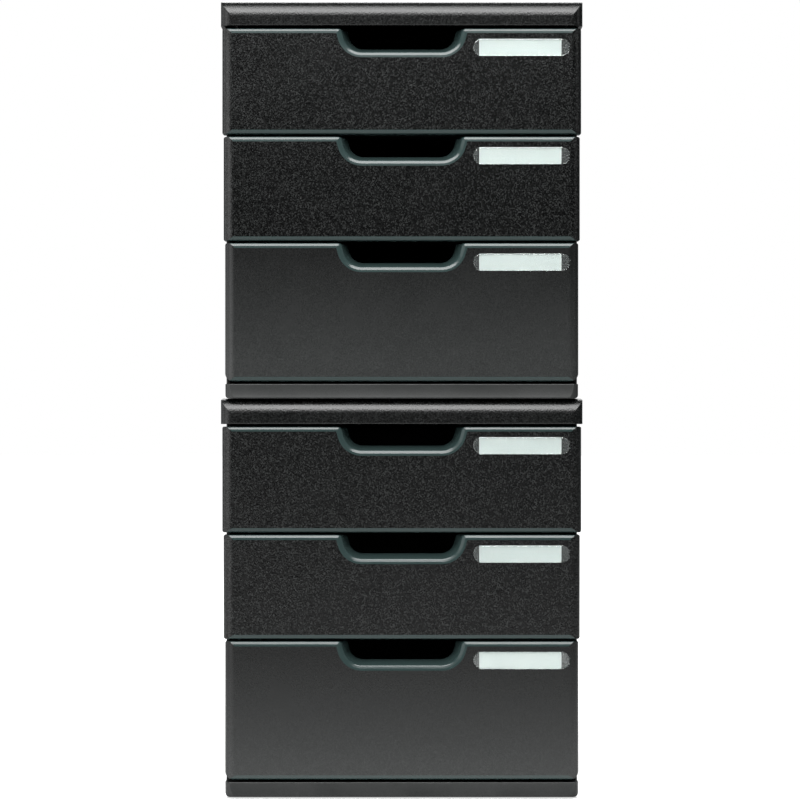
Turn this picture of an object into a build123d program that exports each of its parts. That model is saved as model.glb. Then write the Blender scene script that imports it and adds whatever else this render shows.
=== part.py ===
from build123d import *
import math
import os

# Stack of two identical three-drawer desktop modules, in millimetres.
# +Z is up, the drawers open towards -Y, the origin is on the floor under the
# middle of the stack.

# ------------------------------------------------------------ main sizes
MODULE_W = 292.0          # width over the top cover
MODULE_D = 350.0          # depth over the top cover
MODULE_H = 321.0          # height of one module, base rim to cover top
FOOT_STANDOUT = 1.5       # foot pads stand this far below the base rim
MODULES = ("lower", "upper")

FRONT_Y = -MODULE_D / 2
BACK_Y = MODULE_D / 2

# ------------------------------------------------------------ top cover
COVER_Z0 = 300.5          # lower rim of the cover
COVER_WALL = 3.0
NOSE_R = 12.5             # roll along the front of the cover
COVER_PLAN_R = 8.6        # front corners of the cover seen from above
COVER_REAR_R = 6.0
COVER_SIDE_R = 2.0        # rounding along the cover's long top edges
COVER_RIB_T = 1.8
COVER_RIB_H = 3.0
RECESS_R = 11.0           # stacking recesses for the feet of a module above
RECESS_DEPTH = 1.9

# ------------------------------------------------------------ base
BASE_W = 285.0
BASE_Y0 = -174.0
BASE_Y1 = 174.0
BASE_H = 11.8
BASE_ROUND = 3.5          # rounding along the bottom edge, sides and rear
BASE_FLARE = 1.6          # how far the front face draws in from its foot to its top
BASE_PLAN_R = 8.6
BASE_WALL = 7.0
BASE_TOP_T = 3.0
BASE_RIB_H = 3.0
FOOT_R = 9.5
FOOT_SEAT = 2.5           # depth of the foot sockets
FOOT_X = 112.0
FOOT_Y = 135.0

# ------------------------------------------------------------ side and back panels
SIDE_OUT = 142.2          # outer face of the side panels
SIDE_T = 3.0
SIDE_Y0 = -157.0
SIDE_Y1 = 171.6
TONGUE_T = 1.8            # tongues that enter the cover and the base
TONGUE_UP = 10.0
TONGUE_DOWN = 3.0
PANEL_SINK = 0.8          # shallow sunken field on the outside
BACK_T = 2.6
BACK_TOP = 311.0

# ------------------------------------------------------------ runners and stops
RUN_REACH = 6.0           # how far the runner ribs stand in from the side panel
RUN_T = 2.5
GUIDE_T = 2.0
FLANGE_T = 2.2
FLANGE_DROP = 5.5         # flange top below the drawer's top edge
STOP_Y0, STOP_Y1 = -118.0, -112.5
LUG_Y0, LUG_Y1 = 148.0, 156.0
TRAVEL = 260.0            # drawer travel to the stop

# ------------------------------------------------------------ drawers
# name, front bottom, front top, radius of the lower corners in front view, front width:
# the fronts step in from the top one to the bottom one
DRAWERS = (
    ("top", 213.2, 298.4, 1.8, 290.0),
    ("middle", 127.2, 211.1, 1.8, 287.8),
    ("bottom", 14.0, 125.3, 7.0, 285.4),
)
FACE_W = max(d[4] for d in DRAWERS)
FACE_Y0 = -173.5          # face of the drawer fronts
FACE_Y1 = -158.5          # rear rim of the drawer fronts
FACE_PLAN_R = 8.5
FACE_WALL = 2.5
BEVEL_H = 3.9             # smooth band along the top edge and the cutout
BEVEL_D = 0.22            # how far the lower strip of that band leans back
STRIP_H = 1.7             # height of that lower strip
STRIP_LEAN = 24.0         # lean of the upper strip in degrees
EDGE_R = 1.35             # rounded edge above the band
FOOT_BEVEL = 3.0          # height of the rolled edge along the bottom

CUT_HALF = 49.8           # half width of the finger cutout at the top edge
CUT_DEPTH = 19.5
CUT_SLOPE = 0.274         # sideways run of the cutout's sides per mm of height
CUT_R = 16.0
CUT_TOP_R = 3.0           # where the top edge turns down into the cutout
CUT_DRAFT_X = 5.5         # the cutout narrows towards the back
CUT_DRAFT_Z = 4.0
CUT_LIP_T = 2.2

TRAY_HALF = 131.5
TRAY_T = 2.0
TRAY_FLOOR_T = 2.2
TRAY_Y0 = FACE_Y1
TRAY_Y1 = 166.5
TRAY_LIFT = 1.8           # tray floor above the front's bottom edge

# ------------------------------------------------------------ label holder
LABEL_X0, LABEL_X1 = 57.4, 135.9   # ends of the pocket
LABEL_TOP = 8.2                    # pocket top below the drawer's top edge
LABEL_H = 14.1
LABEL_POCKET = 1.9
CARD_X0, CARD_X1 = 62.4, 128.7
CARD_H = 13.0
CARD_T = 0.35
WINDOW_T = 1.5
WINDOW_CLEAR = 0.12


# ------------------------------------------------------------ helpers
def block(x0, x1, y0, y1, z0, z1):
    return Pos((x0 + x1) / 2, (y0 + y1) / 2, (z0 + z1) / 2) * Box(
        abs(x1 - x0), abs(y1 - y0), abs(z1 - z0)
    )


def rod(x, y, z0, z1, r):
    return Pos(x, y, (z0 + z1) / 2) * Cylinder(r, z1 - z0)


def outline(corners):
    """Closed face through corners (u, v, radius), each rounded by its radius."""
    n = len(corners)
    marks = []
    for i in range(n):
        (ax, ay, _), (bx, by, r), (cx, cy, _) = (
            corners[i - 1],
            corners[i],
            corners[(i + 1) % n],
        )
        if r <= 0:
            marks.append(((bx, by), (bx, by), None))
            continue
        ux, uy = ax - bx, ay - by
        vx, vy = cx - bx, cy - by
        lu, lv = math.hypot(ux, uy), math.hypot(vx, vy)
        ux, uy, vx, vy = ux / lu, uy / lu, vx / lv, vy / lv
        half = math.acos(max(-1.0, min(1.0, ux * vx + uy * vy))) / 2
        t = r / math.tan(half)
        wx, wy = ux + vx, uy + vy
        lw = math.hypot(wx, wy)
        wx, wy = wx / lw, wy / lw
        reach = r / math.sin(half)
        mid = (bx + wx * (reach - r), by + wy * (reach - r))
        marks.append(((bx + ux * t, by + uy * t), (bx + vx * t, by + vy * t), mid))
    edges = []
    for i in range(n):
        a, b, mid = marks[i]
        if mid is not None:
            edges.append(ThreePointArc(a, mid, b))
        nxt = marks[(i + 1) % n][0]
        if math.hypot(nxt[0] - b[0], nxt[1] - b[1]) > 1e-6:
            edges.append(Line(b, nxt))
    return make_face(edges)


def along_x(corners, x0, x1):
    """Section given in (y, z), run from x0 to x1."""
    return extrude(Plane.YZ.offset(x0) * outline(corners), x1 - x0)


def along_y(corners, y0, y1):
    """Section given in (x, z), run from y1 back to y0."""
    return extrude(Plane.XZ.offset(-y1) * outline(corners), y1 - y0)


def along_z(corners, z0, z1):
    """Plan given in (x, y), run from z0 to z1."""
    return extrude(Plane.XY.offset(z0) * outline(corners), z1 - z0)


def plan(half, y0, y1, r_front, r_back):
    return [
        (-half, y0, r_front),
        (half, y0, r_front),
        (half, y1, r_back),
        (-half, y1, r_back),
    ]


def mirror_x(shape):
    return mirror(shape, about=Plane.YZ)


# ------------------------------------------------------------ top cover
def make_cover():
    half = MODULE_W / 2
    w = COVER_WALL
    outer = along_x(
        [
            (FRONT_Y, COVER_Z0, 1.0),
            (BACK_Y, COVER_Z0, 0.6),
            (BACK_Y, MODULE_H, 2.2),
            (FRONT_Y, MODULE_H, NOSE_R),
        ],
        -half,
        half,
    ) & along_z(
        plan(half, FRONT_Y, BACK_Y, COVER_PLAN_R, COVER_REAR_R), COVER_Z0 - 1, MODULE_H + 1
    ) & along_y(
        [
            (-half, COVER_Z0 - 1, 0),
            (half, COVER_Z0 - 1, 0),
            (half, MODULE_H, COVER_SIDE_R),
            (-half, MODULE_H, COVER_SIDE_R),
        ],
        FRONT_Y - 1,
        BACK_Y + 1,
    )
    hollow = along_x(
        [
            (FRONT_Y + w, COVER_Z0 - 2, 0),
            (BACK_Y - w, COVER_Z0 - 2, 0),
            (BACK_Y - w, MODULE_H - w, 1.0),
            (FRONT_Y + w, MODULE_H - w, NOSE_R - w),
        ],
        -half + w,
        half - w,
    ) & along_z(
        plan(half - w, FRONT_Y + w, BACK_Y - w, COVER_PLAN_R - w, COVER_REAR_R - w),
        COVER_Z0 - 3,
        MODULE_H,
    )
    cover = outer - hollow
    top = MODULE_H - w + 0.5
    ribs = []
    for x in (-48.0, 48.0):
        ribs.append(
            block(
                x - COVER_RIB_T / 2,
                x + COVER_RIB_T / 2,
                FRONT_Y + 12,
                BACK_Y - w - 4.5,
                top - 0.5 - COVER_RIB_H,
                top,
            )
        )
    for y in (-58.0, 58.0):
        ribs.append(
            block(
                -half + w + 4.5,
                half - w - 4.5,
                y - COVER_RIB_T / 2,
                y + COVER_RIB_T / 2,
                top - 0.5 - COVER_RIB_H,
                top,
            )
        )
    # bosses that back the stacking recesses
    for x in (-FOOT_X, FOOT_X):
        for y in (-FOOT_Y, FOOT_Y):
            ribs.append(rod(x, y, MODULE_H - w - 2.0, top, RECESS_R + 2.0))
    cover = cover + ribs
    for x in (-FOOT_X, FOOT_X):
        for y in (-FOOT_Y, FOOT_Y):
            cover -= rod(x, y, MODULE_H - RECESS_DEPTH, MODULE_H + 1, RECESS_R)
    return cover


# ------------------------------------------------------------ base
def make_base():
    half = BASE_W / 2
    body = along_x(
        [
            (BASE_Y0, 0.8, 0.5),
            (BASE_Y0 + 0.8, 0, 0.4),
            (BASE_Y1, 0, BASE_ROUND),
            (BASE_Y1, BASE_H, 0.6),
            (BASE_Y0 + BASE_FLARE, BASE_H, 0.6),
            (BASE_Y0 + BASE_FLARE - 0.34, 6.3, 58.0),
        ],
        -half,
        half,
    ) & along_z(plan(half, BASE_Y0, BASE_Y1, BASE_PLAN_R, 6.0), -1, BASE_H + 1) & along_y(
        [
            (-half, 0, BASE_ROUND),
            (half, 0, BASE_ROUND),
            (half, BASE_H, 0.6),
            (-half, BASE_H, 0.6),
        ],
        BASE_Y0 - 1,
        BASE_Y1 + 1,
    )
    w = BASE_WALL
    body -= along_z(
        plan(half - w, BASE_Y0 + w, BASE_Y1 - w, 4.0, 4.0), -1, BASE_H - BASE_TOP_T
    )
    adds = []
    rib = BASE_H - BASE_TOP_T - BASE_RIB_H
    for x in (-56.0, 0.0, 56.0):
        adds.append(
            block(x - 1, x + 1, BASE_Y0 + w - 1, BASE_Y1 - w + 1, rib, BASE_H - BASE_TOP_T + 0.5)
        )
    for y in (-75.0, 0.0, 75.0):
        adds.append(
            block(-half + w - 1, half - w + 1, y - 1, y + 1, rib, BASE_H - BASE_TOP_T + 0.5)
        )
    for x in (-FOOT_X, FOOT_X):
        for y in (-FOOT_Y, FOOT_Y):
            adds.append(rod(x, y, 0, BASE_H - BASE_TOP_T + 0.5, FOOT_R + 3.0))
    body = body + adds
    for x in (-FOOT_X, FOOT_X):
        for y in (-FOOT_Y, FOOT_Y):
            body -= rod(x, y, -1, FOOT_SEAT, FOOT_R)
    # slots for the tongues of the side panels and the back panel
    for s in (-1, 1):
        a, b = s * (SIDE_OUT - SIDE_T), s * (SIDE_OUT - SIDE_T + TONGUE_T)
        body -= block(
            min(a, b), max(a, b), SIDE_Y0 + 20, SIDE_Y1 - 20, BASE_H - TONGUE_DOWN, BASE_H + 1
        )
    return body


def make_feet():
    pads = []
    for x in (-FOOT_X, FOOT_X):
        for y in (-FOOT_Y, FOOT_Y):
            pad = rod(x, y, -FOOT_STANDOUT, FOOT_SEAT, FOOT_R)
            low = pad.edges().group_by(Axis.Z)[0]
            pads.append(fillet(low, 0.6))
    return Compound(children=pads)


# ------------------------------------------------------------ side and back panels
def make_right_side():
    x_in = SIDE_OUT - SIDE_T
    panel = block(x_in, SIDE_OUT, SIDE_Y0, SIDE_Y1, BASE_H, COVER_Z0)
    front_edges = panel.edges().filter_by(Axis.Z).group_by(Axis.X)[-1]
    panel = fillet(front_edges, 1.2)
    # sunken field on the outside
    field = extrude(
        Plane.YZ.offset(SIDE_OUT - PANEL_SINK)
        * outline(
            [
                (SIDE_Y0 + 14, BASE_H + 12, 9),
                (SIDE_Y1 - 14, BASE_H + 12, 9),
                (SIDE_Y1 - 14, COVER_Z0 - 12, 9),
                (SIDE_Y0 + 14, COVER_Z0 - 12, 9),
            ]
        ),
        PANEL_SINK + 1,
    )
    panel -= field
    adds = [
        block(x_in, x_in + TONGUE_T, SIDE_Y0 + 20, SIDE_Y1 - 20, COVER_Z0 - 1, COVER_Z0 + TONGUE_UP),
        block(x_in, x_in + TONGUE_T, SIDE_Y0 + 20, SIDE_Y1 - 20, BASE_H - TONGUE_DOWN, BASE_H + 1),
    ]
    y1 = SIDE_Y1 - 6
    for _, _, zt, _, _ in DRAWERS:
        run_top = zt - FLANGE_DROP - FLANGE_T - 0.2
        guide_low = zt - FLANGE_DROP + 0.3
        adds.append(
            block(x_in - RUN_REACH, x_in + 1, SIDE_Y0 + 1, y1, run_top - RUN_T, run_top)
        )
        adds.append(
            block(x_in - RUN_REACH, x_in + 1, SIDE_Y0 + 1, y1, guide_low, guide_low + GUIDE_T)
        )
        adds.append(
            block(
                x_in - RUN_REACH + 1.0,
                x_in + 1,
                STOP_Y0,
                STOP_Y1,
                run_top - RUN_T - 6.5,
                run_top - RUN_T + 0.5,
            )
        )
    return panel + adds


def make_back():
    x = SIDE_OUT - SIDE_T
    y1 = SIDE_Y1
    y0 = y1 - BACK_T
    panel = block(-x, x, y0, y1, BASE_H, BACK_TOP)
    # three upright stiffening beads pressed outwards, as shallow sunken fields between
    for a, b in ((-126.0, -48.0), (-39.0, 39.0), (48.0, 126.0)):
        panel -= extrude(
            Plane.XZ.offset(-y1 - 1)
            * outline(
                [
                    (a, BASE_H + 14, 7),
                    (b, BASE_H + 14, 7),
                    (b, COVER_Z0 - 14, 7),
                    (a, COVER_Z0 - 14, 7),
                ]
            ),
            1 + 0.8,
        )
    return panel


# ------------------------------------------------------------ finger cutout
def well(zt, grow, y):
    """Half width at the top edge, depth and corner radius of the drafted well at depth y."""
    t = (y - FACE_Y0) / (FACE_Y1 - FACE_Y0)
    half = CUT_HALF - CUT_DRAFT_X * t + grow * math.hypot(1.0, CUT_SLOPE)
    return half, CUT_DEPTH - CUT_DRAFT_Z * t + grow, CUT_R - 4.0 * t + grow


def cutout_section(zt, grow, y, rise=6.0):
    """The well alone, open upwards past the top edge."""
    half, depth, radius = well(zt, grow, y)
    foot = half - CUT_SLOPE * depth
    head = half + CUT_SLOPE * rise
    return Plane.XZ.offset(-y) * outline(
        [
            (-head, zt + rise, 0),
            (-foot, zt - depth, radius),
            (foot, zt - depth, radius),
            (head, zt + rise, 0),
        ]
    )


def cutout_loft(zt, grow, y_from, y_to):
    return loft([cutout_section(zt, grow, y_from), cutout_section(zt, grow, y_to)])


def rim_section(zt, grow, y, rise=6.0):
    """Everything above the front's top edge and inside the well, moved into the
    material by grow."""
    half, depth, radius = well(zt, grow, y)
    foot = half - CUT_SLOPE * depth
    turn = half - CUT_SLOPE * grow
    corner = max(CUT_TOP_R - grow, 0.35)
    out = FACE_W / 2 + 6.0
    return Plane.XZ.offset(-y) * outline(
        [
            (-out, zt + rise, 0),
            (-out, zt - grow, 0),
            (-turn, zt - grow, corner),
            (-foot, zt - depth, radius),
            (foot, zt - depth, radius),
            (turn, zt - grow, corner),
            (out, zt - grow, 0),
            (out, zt + rise, 0),
        ]
    )


def rim_loft(zt):
    """Shapes the whole rim in one go: a band in two strips that lean back, a rounded
    edge, then the well."""
    y0 = FACE_Y0
    lean = math.radians(STRIP_LEAN)
    end = math.radians(82.0)
    rise = EDGE_R * (math.sin(end) - math.sin(lean))
    run = (BEVEL_H - STRIP_H - rise) * math.tan(lean)
    steps = [
        (BEVEL_H + 0.5 * STRIP_H / BEVEL_D, y0 - 0.5),
        (BEVEL_H, y0),
        (BEVEL_H - STRIP_H, y0 + BEVEL_D),
    ]
    n = 6
    for i in range(n + 1):
        a = lean + (end - lean) * i / n
        grow = EDGE_R * (math.sin(end) - math.sin(a))
        y = y0 + BEVEL_D + run + EDGE_R * (math.cos(lean) - math.cos(a))
        steps.append((grow, y))
    steps.append((-0.05, y0 + 3.2))
    steps.append((-0.05, FACE_Y1 + 1))
    return loft([rim_section(zt, g, y) for g, y in steps], ruled=True)


# ------------------------------------------------------------ label holder
def label_outline(zt, shrink):
    """Pocket outline in front view: long straight sides and bowed ends."""
    x0, x1 = LABEL_X0 + shrink, LABEL_X1 - shrink
    zc = zt - LABEL_TOP - LABEL_H / 2
    h = LABEL_H / 2 - shrink
    bow_l, bow_r = 5.0, 6.4
    a = (x0 + bow_l, zc + h)
    b = (x0 + bow_l, zc - h)
    c = (x1 - bow_r, zc - h)
    d = (x1 - bow_r, zc + h)
    return make_face(
        [
            ThreePointArc(a, (x0, zc), b),
            Line(b, c),
            ThreePointArc(c, (x1, zc), d),
            Line(d, a),
        ]
    )


def label_prism(zt, shrink, y0, y1):
    return extrude(Plane.XZ.offset(-y1) * label_outline(zt, shrink), y1 - y0)


# ------------------------------------------------------------ drawer front
def make_front(zb, zt, low_r, width):
    half = width / 2
    y0, y1, w = FACE_Y0, FACE_Y1, FACE_WALL
    section = along_x(
        [
            (y0, zb + FOOT_BEVEL, 2.4),
            (y0 + 1.0, zb + 0.75, 1.2),
            (y0 + 2.4, zb, 0.7),
            (y1, zb, 0),
            (y1, zt, 0),
            (y0, zt, 0),
        ],
        -half,
        half,
    )
    body = (
        section
        & along_z(plan(half, y0, y1, FACE_PLAN_R, 0), zb - 1, zt + 1)
        & along_y(
            [
                (-half, zb, low_r),
                (half, zb, low_r),
                (half, zt, 1.6),
                (-half, zt, 1.6),
            ],
            y0 - 1,
            y1 + 1,
        )
    )
    # hollow behind the face, kept clear of the cutout's well
    core = along_x(
        [(y0 + w, zb + w, 0.8), (y1 + 1, zb + w, 0), (y1 + 1, zt - w, 0), (y0 + w, zt - w, 1.0)],
        -half + w,
        half - w,
    ) & along_z(plan(half - w, y0 + w, y1 + 1, FACE_PLAN_R - w, 0), zb, zt)
    core -= cutout_loft(zt, CUT_LIP_T, y0 - 1, y1 + 2)
    # seat of the label pocket stays solid
    core -= label_prism(zt, -2.0, y0, y0 + LABEL_POCKET + 1.6)
    body -= core
    # upright webs that meet the tray's front wall
    webs = []
    for x in (-96.0, -70.0, 70.0, 96.0):
        webs.append(block(x - 0.9, x + 0.9, y0 + w - 0.5, y1, zb + w - 0.5, zt - 26.0))
    body = body + webs
    body -= rim_loft(zt)
    body -= label_prism(zt, 0.0, y0 - 1, y0 + LABEL_POCKET)
    return body


# ------------------------------------------------------------ drawer tray
def make_tray(zb, zt):
    z0 = zb + TRAY_LIFT
    top = zt - FLANGE_DROP
    h, t = TRAY_HALF, TRAY_T
    outer = along_z(plan(h, TRAY_Y0, TRAY_Y1, 0, 8.0), z0, top)
    outer = fillet(outer.faces().sort_by(Axis.Z)[0].edges().sort_by(Axis.Y)[1:], 3.0)
    inner = along_z(plan(h - t, TRAY_Y0 + t, TRAY_Y1 - t, 2.0, 6.0), z0 + TRAY_FLOOR_T, top + 1)
    inner = fillet(inner.faces().sort_by(Axis.Z)[0].edges(), 3.5)
    tray = outer - inner
    reach = SIDE_OUT - SIDE_T - 0.8
    adds = []
    for s in (-1, 1):
        adds.append(
            block(
                min(s * (h - 0.5), s * reach),
                max(s * (h - 0.5), s * reach),
                SIDE_Y0 + 2.0,
                TRAY_Y1 - 9.0,
                top - FLANGE_T,
                top,
            )
        )
        lug_top = top - FLANGE_T - 0.2 - RUN_T - 1.0
        adds.append(
            block(
                min(s * (h - 0.5), s * (h + 5.0)),
                max(s * (h - 0.5), s * (h + 5.0)),
                LUG_Y0,
                LUG_Y1,
                lug_top - 4.6,
                lug_top,
            )
        )
    tray = tray + adds
    # notch in the front wall behind the finger cutout
    d = CUT_DEPTH - CUT_DRAFT_Z + 0.6
    tray -= along_y(
        [
            (-46.0, zt + 2, 0),
            (-41.5, zt - d, 11.0),
            (41.5, zt - d, 11.0),
            (46.0, zt + 2, 0),
        ],
        TRAY_Y0 - 1,
        TRAY_Y0 + t + 0.5,
    )
    return tray


def make_window(zt):
    y_back = FACE_Y0 + LABEL_POCKET - CARD_T - 0.02
    pane = label_prism(zt, WINDOW_CLEAR, y_back - WINDOW_T, y_back)
    rim = pane.faces().sort_by(Axis.Y)[0].edges()
    pane = chamfer(rim, 0.35)
    # thumb notch at the right-hand tip
    zc = zt - LABEL_TOP - LABEL_H / 2
    notch = Pos(LABEL_X1 - WINDOW_CLEAR + 1.1, y_back - WINDOW_T / 2, zc - 0.6) * (
        Rot(90, 0, 0) * Cylinder(1.9, WINDOW_T + 2)
    )
    return pane - notch


def make_card(zt):
    zc = zt - LABEL_TOP - LABEL_H / 2
    y1 = FACE_Y0 + LABEL_POCKET
    return block(CARD_X0, CARD_X1, y1 - CARD_T, y1, zc - CARD_H / 2, zc + CARD_H / 2)


# ------------------------------------------------------------ build one module, place it twice
pieces = {
    "top_cover": make_cover(),
    "base": make_base(),
    "feet": make_feet(),
    "back_panel": make_back(),
}
right = make_right_side()
pieces["right_side"] = right
pieces["left_side"] = mirror_x(right)
for name, zb, zt, low_r, width in DRAWERS:
    pieces[name + "_drawer_front"] = make_front(zb, zt, low_r, width)
    pieces[name + "_drawer_tray"] = make_tray(zb, zt)
    pieces[name + "_drawer_window"] = make_window(zt)
    pieces[name + "_drawer_card"] = make_card(zt)

os.makedirs("parts", exist_ok=True)
for i, module in enumerate(MODULES):
    lift = FOOT_STANDOUT + i * MODULE_H
    for name, shape in pieces.items():
        placed = Pos(0, 0, lift) * shape
        placed.label = module + "_" + name
        export_step(placed, "parts/" + module + "_" + name + ".step")
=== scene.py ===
import math
import random

import bmesh
import bpy
from mathutils import Matrix, Vector


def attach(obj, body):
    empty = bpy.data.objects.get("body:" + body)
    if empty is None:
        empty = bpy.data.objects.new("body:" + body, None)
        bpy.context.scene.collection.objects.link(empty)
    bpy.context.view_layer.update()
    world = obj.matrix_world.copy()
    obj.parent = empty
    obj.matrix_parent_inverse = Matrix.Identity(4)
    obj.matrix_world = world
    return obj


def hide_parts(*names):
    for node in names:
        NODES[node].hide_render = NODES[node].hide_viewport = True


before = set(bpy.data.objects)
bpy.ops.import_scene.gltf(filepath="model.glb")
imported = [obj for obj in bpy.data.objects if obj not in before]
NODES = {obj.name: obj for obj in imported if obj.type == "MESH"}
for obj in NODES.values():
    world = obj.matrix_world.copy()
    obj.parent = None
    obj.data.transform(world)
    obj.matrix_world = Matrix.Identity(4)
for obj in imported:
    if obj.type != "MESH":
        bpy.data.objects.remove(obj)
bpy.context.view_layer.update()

# ---------------------------------------------------------------- sizes (metres)
MM = 0.001
FOOT_STANDOUT = 1.5 * MM
MODULE_H = 321.0 * MM
FACE_Y0 = -173.5 * MM
MODULES = (("lower", FOOT_STANDOUT), ("upper", FOOT_STANDOUT + MODULE_H))
DRAWERS = (
    ("top", 213.2 * MM, 298.4 * MM),
    ("middle", 127.2 * MM, 211.1 * MM),
    ("bottom", 14.0 * MM, 125.3 * MM),
)
LABEL_X0, LABEL_X1 = 57.4 * MM, 135.9 * MM
LABEL_TOP = 8.2 * MM
LABEL_H = 14.1 * MM
LABEL_POCKET = 1.9 * MM
CARD_X0, CARD_X1 = 62.4 * MM, 128.7 * MM
CARD_H = 13.0 * MM
CARD_T = 0.35 * MM


# ---------------------------------------------------------------- camera
PX_PER_M = 1241.6                      # photo pixels per metre at the drawer fronts
FRAME_W = 800.0 / PX_PER_M
CAM_DIST = 2.3
cam_data = bpy.data.cameras.new("camera")
cam = bpy.data.objects.new("camera", cam_data)
bpy.context.scene.collection.objects.link(cam)
cam_data.sensor_width = 36.0
cam_data.lens = 36.0 * CAM_DIST / FRAME_W
cam_data.clip_start = 0.05
cam_data.clip_end = 60.0
cam.location = (-1.4 * MM, FACE_Y0 - CAM_DIST, 321.4 * MM)
cam.rotation_euler = (math.radians(90), 0.0, 0.0)
bpy.context.scene.camera = cam


# ---------------------------------------------------------------- node helpers
def new_material(name):
    mat = bpy.data.materials.new(name)
    mat.use_nodes = True
    nt = mat.node_tree
    nt.nodes.clear()
    out = nt.nodes.new("ShaderNodeOutputMaterial")
    bsdf = nt.nodes.new("ShaderNodeBsdfPrincipled")
    nt.links.new(bsdf.outputs["BSDF"], out.inputs["Surface"])
    return mat, nt, bsdf


class Graph:
    """Short names for building a node graph."""

    def __init__(self, nt):
        self.nt = nt
        self.coord = nt.nodes.new("ShaderNodeTexCoord").outputs["Object"]
        self.geo = nt.nodes.new("ShaderNodeNewGeometry")

    def put(self, socket, value):
        if isinstance(value, bpy.types.NodeSocket):
            self.nt.links.new(value, socket)
        else:
            socket.default_value = value

    def math(self, op, a, b=0.0, c=None, clamp=False):
        n = self.nt.nodes.new("ShaderNodeMath")
        n.operation = op
        n.use_clamp = clamp
        self.put(n.inputs[0], a)
        self.put(n.inputs[1], b)
        if c is not None:
            self.put(n.inputs[2], c)
        return n.outputs[0]

    def noise(self, scale, detail=2.0, rough=0.5, vector=None, distortion=0.0):
        n = self.nt.nodes.new("ShaderNodeTexNoise")
        self.put(n.inputs["Vector"], vector or self.coord)
        n.inputs["Scale"].default_value = scale
        n.inputs["Detail"].default_value = detail
        n.inputs["Roughness"].default_value = rough
        n.inputs["Distortion"].default_value = distortion
        return n.outputs["Fac"]

    def voronoi(self, scale, feature="F1", smooth=None, vector=None, rand=1.0):
        n = self.nt.nodes.new("ShaderNodeTexVoronoi")
        n.feature = feature
        self.put(n.inputs["Vector"], vector or self.coord)
        n.inputs["Scale"].default_value = scale
        if "Randomness" in n.inputs:
            n.inputs["Randomness"].default_value = rand
        if smooth is not None and "Smoothness" in n.inputs:
            n.inputs["Smoothness"].default_value = smooth
        return n.outputs["Distance"]

    def cells(self, scale, vector=None):
        """A random value from 0 to 1 for every cell."""
        n = self.nt.nodes.new("ShaderNodeTexVoronoi")
        n.feature = "F1"
        self.put(n.inputs["Vector"], vector or self.coord)
        n.inputs["Scale"].default_value = scale
        c = self.nt.nodes.new("ShaderNodeSeparateColor")
        self.put(c.inputs[0], n.outputs["Color"])
        return c.outputs[0]

    def ramp(self, value, lo, hi, out_lo=0.0, out_hi=1.0, smooth=False):
        n = self.nt.nodes.new("ShaderNodeMapRange")
        n.interpolation_type = "SMOOTHSTEP" if smooth else "LINEAR"
        n.clamp = True
        self.put(n.inputs["Value"], value)
        for k, v in (("From Min", lo), ("From Max", hi), ("To Min", out_lo), ("To Max", out_hi)):
            n.inputs[k].default_value = v
        return n.outputs["Result"]

    def xyz(self, vector):
        n = self.nt.nodes.new("ShaderNodeSeparateXYZ")
        self.put(n.inputs[0], vector)
        return n.outputs[0], n.outputs[1], n.outputs[2]

    def scaled(self, sx, sy, sz):
        n = self.nt.nodes.new("ShaderNodeMapping")
        self.put(n.inputs["Vector"], self.coord)
        n.inputs["Scale"].default_value = (sx, sy, sz)
        return n.outputs["Vector"]

    def mix(self, fac, a, b):
        n = self.nt.nodes.new("ShaderNodeMix")
        n.data_type = "RGBA"
        self.put(n.inputs["Factor"], fac)
        self.put(n.inputs[6], a)
        self.put(n.inputs[7], b)
        return n.outputs[2]

    def bump(self, height, distance, strength=1.0, normal=None):
        n = self.nt.nodes.new("ShaderNodeBump")
        self.put(n.inputs["Strength"], strength)
        n.inputs["Distance"].default_value = distance
        self.put(n.inputs["Height"], height)
        if normal is not None:
            self.put(n.inputs["Normal"], normal)
        return n.outputs["Normal"]

    def rounded(self, radius, samples=4):
        n = self.nt.nodes.new("ShaderNodeBevel")
        n.samples = samples
        n.inputs["Radius"].default_value = radius
        return n.outputs["Normal"]

    def dot(self, a, b):
        n = self.nt.nodes.new("ShaderNodeVectorMath")
        n.operation = "DOT_PRODUCT"
        self.put(n.inputs[0], a)
        self.put(n.inputs[1], b)
        return n.outputs["Value"]


def grey(v, tint=(1.0, 1.0, 1.0)):
    return (v * tint[0], v * tint[1], v * tint[2], 1.0)


TINT = (0.96, 1.02, 1.0)


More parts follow.
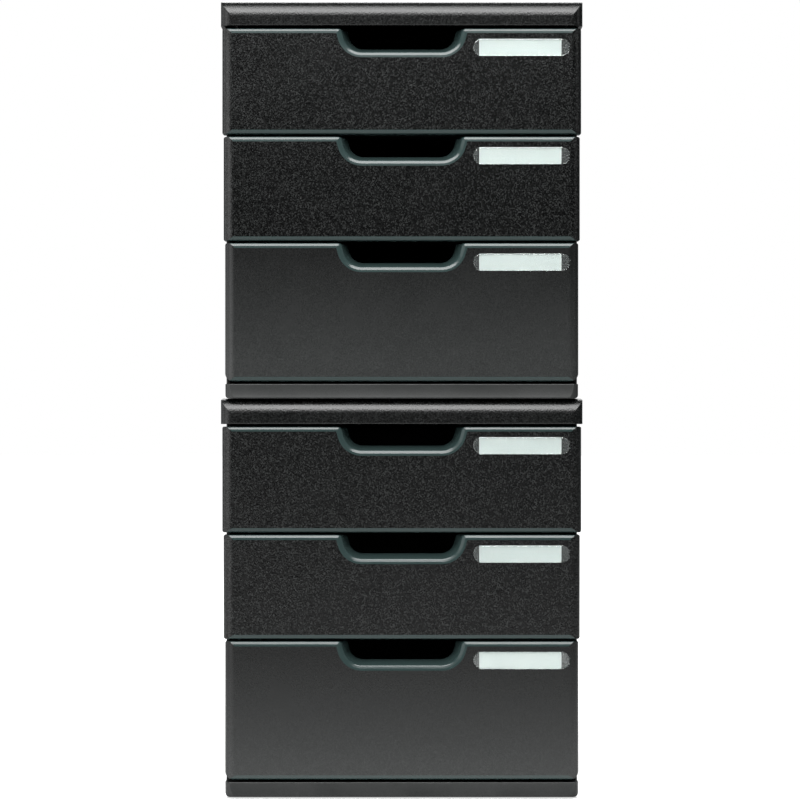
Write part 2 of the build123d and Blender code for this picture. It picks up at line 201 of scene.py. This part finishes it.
def plastic(
    name,
    tone=0.013,
    rough=0.42,
    cell=1.7 * MM,
    depth=0.09 * MM,
    fine=0.5 * MM,
    fine_depth=0.012 * MM,
    rough_var=0.08,
    grain_where=None,
    smooth_rough=0.3,
    spec=0.5,
    smooth_tone=(0.016, 0.027, 0.0262, 1.0),
    painted_glint_tones=None,
    painted_floor_bounce=False,
):
    """Moulded black plastic: a pebbled grain of the given cell size, micro texture,
    patchy gloss, faint dust, slightly rubbed edges, painted shade in the pits and, if asked, painted glints
    and painted floor bounce light."""
    mat, nt, bsdf = new_material(name)
    g = Graph(nt)
    grain_mask = grain_where(g) if grain_where else None

    # pebbles: two sizes of cells, warped so that no grid shows
    tall = g.scaled(1.25, 1.25, 1.0)
    big = g.voronoi(1.0 / cell, "SMOOTH_F1", smooth=0.55, vector=tall)
    small = g.voronoi(1.0 / (cell * 0.58), "SMOOTH_F1", smooth=0.4, vector=tall)
    lumps = g.noise(1.0 / cell, detail=1.0, rough=0.5, vector=tall)
    pebble = g.math("MULTIPLY_ADD", small, 0.6, g.math("MULTIPLY", big, 0.8))
    height = g.math("SUBTRACT", g.math("MULTIPLY", lumps, 0.9), pebble)
    micro = g.noise(1.0 / fine, detail=2.0, rough=0.65)

    strength = 1.0 if grain_mask is None else grain_mask
    edge_n = g.rounded(0.28 * MM)
    n1 = g.bump(micro, fine_depth, 1.0, edge_n)
    n2 = g.bump(height, depth, strength, n1)
    nt.links.new(n2, bsdf.inputs["Normal"])

    # edges: where the rounded normal leaves the face normal
    bend = g.dot(edge_n, g.geo.outputs["Normal"])
    edge = g.ramp(bend, 0.995, 0.9, 0.0, 1.0, smooth=True)
    rub = g.math("MULTIPLY", edge, g.ramp(g.noise(95.0, 4.0, 0.6), 0.42, 0.68))

    # tone: broad patches, painted shade in the pits between pebbles, pale dust specks
    patch = g.ramp(g.noise(14.0, 3.0, 0.55), 0.3, 0.7)
    base = g.mix(patch, grey(tone * 0.88, TINT), grey(tone * 1.12, TINT))
    pit = g.ramp(height, -0.55, -0.1)
    if grain_mask is not None:
        pit = g.math("SUBTRACT", 1.0, g.math("MULTIPLY", g.math("SUBTRACT", 1.0, pit), grain_mask))
    # painted shade: the pits between pebbles are coloured darker than the pebble tops
    base = g.mix(pit, grey(tone * 0.55, TINT), base)
    if painted_glint_tones:
        # painted glints: random pebble cells coloured paler than the rest, in place of the grain's glints of
        # light
        painted_glint_spots = g.math("POWER", g.cells(1.0 / (0.95 * MM), tall), 3.0)
        base = g.mix(painted_glint_spots, grey(painted_glint_tones[0], TINT), grey(painted_glint_tones[1], TINT))
    if painted_floor_bounce:
        # painted floor bounce light: the colour grows paler towards the foot of the drawer, near the floor,
        # and darker above
        x, y, z = g.xyz(g.coord)
        up = g.math("MODULO", z, MODULE_H)
        base = g.mix(g.ramp(up, 30 * MM, 118 * MM, 1.0, 0.0), grey(painted_glint_tones[0] * 0.25, TINT), base)
    if grain_mask is not None:
        base = g.mix(grain_mask, smooth_tone, base)
    base = g.mix(g.math("MULTIPLY", rub, 0.5), base, grey(tone * 3.2, TINT))
    speck = g.ramp(g.noise(620.0, 1.0, 0.5), 0.76, 0.8)
    dust = g.math("MULTIPLY", speck, g.ramp(g.noise(22.0, 2.0), 0.5, 0.7))
    base = g.mix(g.math("MULTIPLY", dust, 0.35), base, grey(0.11, (1.0, 0.99, 0.96)))
    nt.links.new(base, bsdf.inputs["Base Color"])

    # gloss: patchy, duller in the pits, smoother where polished
    r = g.math("ADD", g.ramp(g.noise(31.0, 4.0, 0.6), 0.25, 0.75, -rough_var, rough_var), rough)
    r = g.math("ADD", r, g.ramp(pit, 0.0, 1.0, 0.1, 0.0))
    if grain_mask is not None:
        sr = g.ramp(g.noise(46.0, 4.0, 0.6), 0.25, 0.75, smooth_rough - 0.05, smooth_rough + 0.06)
        m = nt.nodes.new("ShaderNodeMix")
        m.data_type = "FLOAT"
        g.put(m.inputs["Factor"], grain_mask)
        g.put(m.inputs[2], sr)
        g.put(m.inputs[3], r)
        r = m.outputs[0]
    r = g.math("SUBTRACT", r, g.math("MULTIPLY", rub, 0.08), clamp=True)
    nt.links.new(r, bsdf.inputs["Roughness"])
    bsdf.inputs["IOR"].default_value = 1.355
    bsdf.inputs["Specular IOR Level"].default_value = spec
    return mat


def front_grain(g):
    """1 on the face and the upright rounded corners, 0 on bevels, crest, well and rims."""
    nx, ny, nz = g.xyz(g.geo.outputs["True Normal"])
    level = g.ramp(g.math("ABSOLUTE", nz), 0.02, 0.05, 1.0, 0.0)
    x, y, z = g.xyz(g.coord)
    inner = g.ramp(g.math("ABSOLUTE", x), 0.066, 0.067, 0.0, 1.0)
    facing = g.ramp(ny, -0.992, -0.998, 0.0, 1.0)
    side = g.math("MAXIMUM", inner, facing)
    return g.math("MULTIPLY", level, side)


MATS = {}
# the tone pairs below give the dark and pale colours of the painted glints on the pebbles
MATS["cover"] = plastic("black_pebbled_cover", tone=0.004, rough=0.2, cell=1.5 * MM, depth=0.09 * MM, rough_var=0.03, painted_glint_tones=(0.0003, 0.011))
MATS["front_coarse"] = plastic(
    "black_pebbled_front", tone=0.003, rough=0.15, cell=1.4 * MM, depth=0.14 * MM,
    grain_where=front_grain, smooth_rough=0.15, rough_var=0.03, painted_glint_tones=(0.0, 0.0175),
)
MATS["front_mid"] = plastic(
    "black_pebbled_front_mid", tone=0.003, rough=0.15, cell=1.35 * MM, depth=0.12 * MM,
    grain_where=front_grain, smooth_rough=0.15, rough_var=0.03, painted_glint_tones=(0.0, 0.0175),
)
MATS["front_fine"] = plastic(
    "black_fine_front", tone=0.008, rough=0.26, cell=1.2 * MM, depth=0.05 * MM,
    # the fine fronts carry painted floor bounce light, paler towards their foot
    grain_where=front_grain, smooth_rough=0.15, rough_var=0.03, painted_glint_tones=(0.0145, 0.0235), painted_floor_bounce=True,
)
MATS["base"] = plastic(
    "black_satin_base", tone=0.0185, rough=0.32, cell=0.9 * MM, depth=0.012 * MM, fine_depth=0.006 * MM,
)
MATS["side"] = plastic("black_grained_side", tone=0.012, rough=0.44, cell=1.4 * MM, depth=0.1 * MM, rough_var=0.03, painted_glint_tones=(0.003, 0.01))
MATS["tray"] = plastic(
    "black_satin_tray", tone=0.009, rough=0.36, cell=0.8 * MM, depth=0.012 * MM, fine_depth=0.006 * MM,
)
MATS["foot"] = plastic(
    "soft_black_foot", tone=0.012, rough=0.78, cell=0.7 * MM, depth=0.02 * MM, spec=0.3,
)


def paint(node, mat):
    o = NODES[node]
    if not o.material_slots:
        o.data.materials.append(mat)
    for s in o.material_slots:
        s.material = mat


for mod, _ in MODULES:
    paint(mod + "_top_cover", MATS["cover"])
    paint(mod + "_base", MATS["base"])
    paint(mod + "_feet", MATS["foot"])
    for n in ("_back_panel", "_left_side", "_right_side"):
        paint(mod + n, MATS["side"])
    for d, kind in (("top", "front_coarse"), ("middle", "front_mid"), ("bottom", "front_fine")):
        paint(f"{mod}_{d}_drawer_front", MATS[kind])
        paint(f"{mod}_{d}_drawer_tray", MATS["tray"])


# ---------------------------------------------------------------- label cards and windows
def card_material():
    mat, nt, bsdf = new_material("pale_label_card")
    g = Graph(nt)
    fibre = g.noise(900.0, 4.0, 0.7, vector=g.scaled(0.35, 1.0, 1.4))
    cloud = g.noise(60.0, 3.0, 0.5)
    base = g.mix(g.ramp(cloud, 0.3, 0.7), (0.703, 0.717, 0.712, 1.0), (0.725, 0.732, 0.727, 1.0))
    base = g.mix(g.ramp(fibre, 0.55, 0.75, 0.0, 0.12), base, (0.84, 0.87, 0.86, 1.0))
    nt.links.new(base, bsdf.inputs["Base Color"])
    bsdf.inputs["Roughness"].default_value = 0.85
    nt.links.new(g.bump(fibre, 0.02 * MM, 0.6), bsdf.inputs["Normal"])
    bsdf.inputs["Specular IOR Level"].default_value = 0.3
    return mat


def window_material():
    mat, nt, bsdf = new_material("clear_label_window")
    g = Graph(nt)
    scratch = g.noise(700.0, 2.0, 0.6, vector=g.scaled(0.12, 1.0, 1.0))
    bsdf.inputs["Base Color"].default_value = (0.93, 0.985, 0.968, 1.0)
    r = g.ramp(scratch, 0.55, 0.8, 0.04, 0.09)
    nt.links.new(r, bsdf.inputs["Roughness"])
    nt.links.new(g.bump(g.noise(45.0, 1.0), 0.01 * MM, 0.5), bsdf.inputs["Normal"])
    bsdf.inputs["IOR"].default_value = 1.49
    bsdf.inputs["Transmission Weight"].default_value = 0.975
    return mat


MATS["card"] = card_material()
MATS["window"] = window_material()


def mesh_object(name, bm, mat, smooth_angle=35.0):
    me = bpy.data.meshes.new(name)
    bmesh.ops.recalc_face_normals(bm, faces=bm.faces[:])
    bm.to_mesh(me)
    bm.free()
    me.materials.append(mat)
    o = bpy.data.objects.new(name, me)
    bpy.context.scene.collection.objects.link(o)
    for p in me.polygons:
        p.use_smooth = True
    me.set_sharp_from_angle(angle=math.radians(smooth_angle))
    return o


def window_outline(shrink, notch=True, steps=44):
    """Outline of the window in (x, z) about the pocket's centre line: straight sides,
    bowed ends and a thumb notch at the right-hand tip."""
    x0, x1 = LABEL_X0 + shrink, LABEL_X1 - shrink
    h = LABEL_H / 2 - shrink
    pts = []

    def bow(tip, base, top_first):
        # circle through (base, h), (tip, 0), (base, -h)
        s = abs(tip - base)
        r = (s * s + h * h) / (2 * s)
        cx = tip + (r if tip < base else -r)
        a = math.asin(min(1.0, h / r))
        if s > r:
            a = math.pi - a
        arc = []
        for i in range(steps + 1):
            t = a - 2 * a * i / steps
            sign = -1 if tip < base else 1
            arc.append((cx + sign * r * math.cos(t), r * math.sin(t)))
        return arc if top_first else arc[::-1]

    left = bow(x0, x0 + 5.0 * MM, False)
    right = bow(x1, x1 - 6.4 * MM, True)
    if notch:
        nr = 1.9 * MM + shrink
        nc = (LABEL_X1 + 0.95 * MM, -0.6 * MM)
        cut = []
        for x, z in right:
            d = math.hypot(x - nc[0], z - nc[1])
            if d < nr:
                a = math.atan2(z - nc[1], x - nc[0])
                # slide the point onto the notch circle along the horizontal
                dx = math.sqrt(max(0.0, nr * nr - (z - nc[1]) ** 2))
                x = nc[0] - dx
            cut.append((x, z))
        right = cut
    n = 26
    pts += left
    top_l, top_r = left[-1], right[0]
    for i in range(1, n):
        f = i / n
        pts.append((top_l[0] + (top_r[0] - top_l[0]) * f, top_l[1] + (top_r[1] - top_l[1]) * f))
    pts += right
    bot_r, bot_l = right[-1], left[0]
    for i in range(1, n):
        f = i / n
        pts.append((bot_r[0] + (bot_l[0] - bot_r[0]) * f, bot_r[1] + (bot_l[1] - bot_r[1]) * f))
    return pts


def ring_loft(rings, zc):
    """Closed solid through rings of (x, z, y) points with equal counts."""
    bm = bmesh.new()
    loops = []
    for ring in rings:
        loops.append([bm.verts.new((x, y, zc + z)) for x, z, y in ring])
    n = len(loops[0])
    for a, b in zip(loops, loops[1:]):
        for i in range(n):
            j = (i + 1) % n
            bm.faces.new((a[i], a[j], b[j], b[i]))
    bm.faces.new(loops[0])
    bm.faces.new(loops[-1])
    return bm


def build_window(name, zt):
    zc = zt - LABEL_TOP - LABEL_H / 2
    y_back = FACE_Y0 + LABEL_POCKET - CARD_T - 0.03 * MM
    thick = 1.5 * MM
    y_front = y_back - thick
    c = 0.14 * MM
    profile = (
        (c + 0.10 * MM, y_back),
        (c, y_back - 0.12 * MM),
        (c, y_front + 0.66 * MM),
        (c + 0.10 * MM, y_front + 0.42 * MM),
        (c + 0.36 * MM, y_front + 0.18 * MM),
        (c + 0.68 * MM, y_front + 0.05 * MM),
        (c + 1.00 * MM, y_front),
    )
    rings = [[(x, z, y) for x, z in window_outline(s)] for s, y in profile]
    return mesh_object(name, ring_loft(rings, zc), MATS["window"], 7.5)


def build_card(name, zt, seed):
    """Paper card with rounded corners and a faint bow."""
    rnd = random.Random(seed)
    zc = zt - LABEL_TOP - LABEL_H / 2
    y_back = FACE_Y0 + LABEL_POCKET - 0.01 * MM
    r = 0.7 * MM
    hx, hz = (CARD_X1 - CARD_X0) / 2, CARD_H / 2
    xc = (CARD_X0 + CARD_X1) / 2
    bow = 0.05 * MM * rnd.uniform(0.6, 1.0)
    nx, nz = 44, 12
    bm = bmesh.new()
    grid = {}
    for side in (0, 1):
        for i in range(nx + 1):
            for j in range(nz + 1):
                u, v = -1 + 2 * i / nx, -1 + 2 * j / nz
                x, z = u * hx, v * hz
                # pull the corners onto a small radius
                dx, dz = abs(x) - (hx - r), abs(z) - (hz - r)
                if dx > 0 and dz > 0:
                    d = math.hypot(dx, dz)
                    if d > r:
                        x = math.copysign(hx - r + dx * r / d, x)
                        z = math.copysign(hz - r + dz * r / d, z)
                lift = bow * (1 - u * u) * 0.5
                y = y_back - lift * 0.3 - (0.26 * MM if side else 0.0)
                grid[(side, i, j)] = bm.verts.new((xc + x, y, zc + z))
    for side in (0, 1):
        for i in range(nx):
            for j in range(nz):
                bm.faces.new([grid[(side, a, b)] for a, b in ((i, j), (i + 1, j), (i + 1, j + 1), (i, j + 1))])
    rim = (
        [(i, 0) for i in range(nx)]
        + [(nx, j) for j in range(nz)]
        + [(i, nz) for i in range(nx, 0, -1)]
        + [(0, j) for j in range(nz, 0, -1)]
    )
    for k in range(len(rim)):
        a, b = rim[k], rim[(k + 1) % len(rim)]
        bm.faces.new([grid[(0, *a)], grid[(0, *b)], grid[(1, *b)], grid[(1, *a)]])
    return mesh_object(name, bm, MATS["card"], 40.0)


seed = 11
for mod, lift in MODULES:
    for d, zb, zt in DRAWERS:
        body = f"{mod}_{d}_drawer"
        w = build_window(body + "_label_window", lift + zt)
        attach(w, body)
        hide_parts(body + "_window")
        c = build_card(body + "_label_card", lift + zt, seed)
        seed += 1
        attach(c, body)
        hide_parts(body + "_card")


# ---------------------------------------------------------------- floor, background, lights
def build_floor():
    bm = bmesh.new()
    rings = (0.35, 0.8, 1.6, 3.0, 5.5, 9.0, 14.0)
    n = 96
    centre = bm.verts.new((0, 0, 0))
    prev = None
    for r in rings:
        loop = [
            bm.verts.new((r * math.cos(2 * math.pi * i / n), r * math.sin(2 * math.pi * i / n), 0.0))
            for i in range(n)
        ]
        for i in range(n):
            j = (i + 1) % n
            if prev is None:
                bm.faces.new((centre, loop[i], loop[j]))
            else:
                bm.faces.new((prev[i], loop[i], loop[j], prev[j]))
        prev = loop
    mat, nt, bsdf = new_material("pale_floor")
    g = Graph(nt)
    tone = g.mix(g.ramp(g.noise(3.0, 2.0), 0.3, 0.7), (0.5, 0.5, 0.5, 1.0), (0.54, 0.54, 0.54, 1.0))
    nt.links.new(tone, bsdf.inputs["Base Color"])
    bsdf.inputs["Roughness"].default_value = 0.8
    bsdf.inputs["Specular IOR Level"].default_value = 0.1
    x, y, z = g.xyz(g.coord)
    far = g.math("SQRT", g.math("ADD", g.math("MULTIPLY", x, x), g.math("MULTIPLY", y, y)))
    glow = nt.nodes.new("ShaderNodeEmission")
    nt.links.new(g.ramp(far, 0.2, 1.1, 0.62, 1.1, smooth=True), glow.inputs["Strength"])
    seen = nt.nodes.new("ShaderNodeLightPath")
    dark = nt.nodes.new("ShaderNodeEmission")
    dark.inputs["Strength"].default_value = 0.0
    pick = nt.nodes.new("ShaderNodeMixShader")
    nt.links.new(seen.outputs["Is Camera Ray"], pick.inputs["Fac"])
    nt.links.new(dark.outputs[0], pick.inputs[1])
    nt.links.new(glow.outputs[0], pick.inputs[2])
    both = nt.nodes.new("ShaderNodeAddShader")
    nt.links.new(bsdf.outputs[0], both.inputs[0])
    nt.links.new(pick.outputs[0], both.inputs[1])
    nt.links.new(both.outputs[0], next(n for n in nt.nodes if n.type == "OUTPUT_MATERIAL").inputs["Surface"])
    o = mesh_object("floor", bm, mat)
    return o


build_floor()

world = bpy.data.worlds.new("studio")
bpy.context.scene.world = world
world.use_nodes = True
wn = world.node_tree
wn.nodes.clear()
w_out = wn.nodes.new("ShaderNodeOutputWorld")
w_bg = wn.nodes.new("ShaderNodeBackground")
w_env = wn.nodes.new("ShaderNodeBackground")
w_mix = wn.nodes.new("ShaderNodeMixShader")
w_path = wn.nodes.new("ShaderNodeLightPath")
w_bg.inputs["Color"].default_value = (1.0, 1.0, 1.0, 1.0)
w_bg.inputs["Strength"].default_value = 1.0
w_env.inputs["Color"].default_value = (0.9, 0.97, 1.0, 1.0)
w_env.inputs["Strength"].default_value = 0.1
wn.links.new(w_path.outputs["Is Camera Ray"], w_mix.inputs["Fac"])
wn.links.new(w_env.outputs[0], w_mix.inputs[1])
wn.links.new(w_bg.outputs[0], w_mix.inputs[2])
wn.links.new(w_mix.outputs[0], w_out.inputs["Surface"])


def softbox(name, at, aim, width, height, radiance, color=(1.0, 1.0, 1.0)):
    """Rectangular soft light of the given radiance."""
    data = bpy.data.lights.new(name, "AREA")
    data.shape = "RECTANGLE"
    data.size, data.size_y = width, height
    data.energy = radiance * math.pi * width * height
    data.color = color
    o = bpy.data.objects.new(name, data)
    bpy.context.scene.collection.objects.link(o)
    o.location = at
    d = Vector(aim) - Vector(at)
    o.rotation_euler = d.to_track_quat("-Z", "Y").to_euler()
    o.visible_camera = False
    return o


def around(az, el, dist, centre=(0.0, -0.17, 0.32)):
    """Point at an azimuth (0 is in front, positive to the right) and elevation from centre."""
    a, e = math.radians(az), math.radians(el)
    return (
        centre[0] + dist * math.sin(a) * math.cos(e),
        centre[1] - dist * math.cos(a) * math.cos(e),
        centre[2] + dist * math.sin(e),
    )


C = (0.0, -0.17, 0.32)
# one tall softbox in front and above, graded over six panels
KEY = ((19, 0.1), (31, 2.0), (43, 15.5), (55, 16.5), (67, 12.0), (79, 7.0))
for i, (el, radiance) in enumerate(KEY):
    softbox(f"key_{i}", around(-6, el, 2.0), C, 1.7, 0.42, radiance)
# strip softboxes on the left
LEFT = ((-22, 0.1), (-42, 2.0), (-62, 3.3), (-84, 1.5), (-108, 1.6))
for i, (az, radiance) in enumerate(LEFT):
    softbox(f"left_{i}", around(az, 9, 2.0), C, 0.7, 1.2, radiance)
# light coming back up from the table in front
softbox("glow_near", (0.0, -0.225, 0.003), (0.0, -0.225, 1.0), 1.0, 0.09, 1.4)
softbox("glow_mid", (0.0, -0.39, 0.003), (0.0, -0.39, 1.0), 1.1, 0.22, 0.5)
softbox("glow_far", (0.0, -0.78, 0.003), (0.0, -0.78, 1.0), 1.4, 0.5, 0.2)
softbox("fill_right", around(75, 20, 2.2), C, 0.8, 1.1, 0.8)
softbox("fill_back", around(165, 38, 2.6), C, 2.2, 1.2, 4.5)

bpy.context.scene.view_settings.view_transform = "Standard"
bpy.context.scene.view_settings.look = "None"
